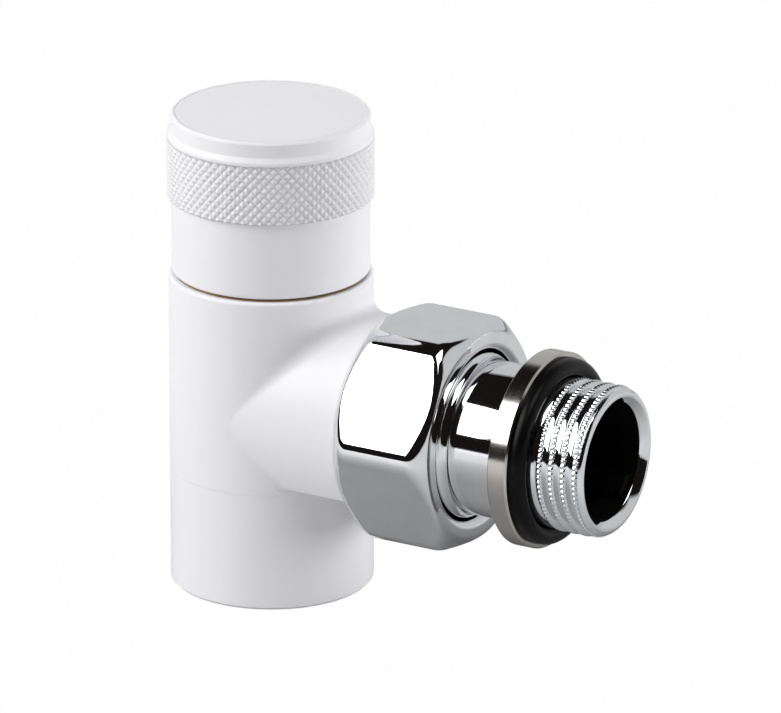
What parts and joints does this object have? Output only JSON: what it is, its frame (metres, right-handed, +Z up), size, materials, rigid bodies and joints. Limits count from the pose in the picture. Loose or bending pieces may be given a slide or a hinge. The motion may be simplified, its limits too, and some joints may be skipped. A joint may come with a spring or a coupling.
{
  "type": "angle radiator shut-off valve",
  "caption": "Angle shut-off valve with a knurled handwheel, a sleeve over its pipe fitting, and a union nut and threaded tailpiece with a face seal for a radiator.",
  "frame": {"origin": "centre of the pipe hole in the base of the cover sleeve, on the valve's vertical axis", "axes": "+Z up along the stem to the handwheel, +X along the branch to the tailpiece's end"},
  "size_m": [0.0682, 0.033, 0.0672],
  "materials": {
    "white_paint": "satin white paint on brass",
    "white_disc": "satin white plastic",
    "brass": "machined",
    "chrome": "polished chrome plate on brass",
    "brushed_nickel": "turned nickel plate",
    "steel": "zinc plated",
    "black_rubber": "matt moulded",
    "ptfe": "matt white"
  },
  "bodies": {
    "body": {"valve_body": "white_paint", "compression_screw": "brass", "compression_ring": "brass", "sleeve_oring": "black_rubber", "bonnet": "brass", "bonnet_oring": "black_rubber", "packing_ring": "ptfe", "gland_nut": "brass"},
    "sleeve": {"cover_sleeve": "white_paint"},
    "plug": {"plug_holder": "brass", "plug_washer": "black_rubber", "plug_nut": "brass"},
    "spindle": {"stem": "brass", "stem_oring_lower": "black_rubber", "stem_oring_upper": "black_rubber", "handwheel": "white_paint", "wheel_washer": "steel", "wheel_screw": "steel", "top_disc": "white_disc"},
    "tail": {"tailpiece": "chrome", "nose_oring": "black_rubber", "sealing_collar": "brushed_nickel", "face_seal": "black_rubber"},
    "nut": {"union_nut": "chrome"}
  },
  "joints": [
    {"name": "stem_lift", "type": "slide", "parent": "body", "child": "plug", "axis": [0, 0, 1], "range_m": [0, 0.0045]},
    {"name": "wheel_turn", "type": "hinge", "parent": "plug", "child": "spindle", "pos_m": [0, 0, 0.05], "axis": [0, 0, 1], "range_deg": [0, 1080]},
    {"name": "tail_draw", "type": "slide", "parent": "body", "child": "tail", "axis": [1, 0, 0], "range_m": [0, 0.005]},
    {"name": "nut_turn", "type": "hinge", "parent": "tail", "child": "nut", "pos_m": [0.0255, 0, 0.0264], "axis": [1, 0, 0], "range_deg": [0, 990]},
    {"name": "sleeve_slide", "type": "slide", "parent": "body", "child": "sleeve", "axis": [0, 0, -1], "range_m": [0, 0.014]}
  ],
  "couplings": [
    {"joint": "stem_lift", "follows": "wheel_turn", "m_per_rad": 0.0002387},
    {"joint": "tail_draw", "follows": "nut_turn", "m_per_rad": 0.0002887}
  ]
}
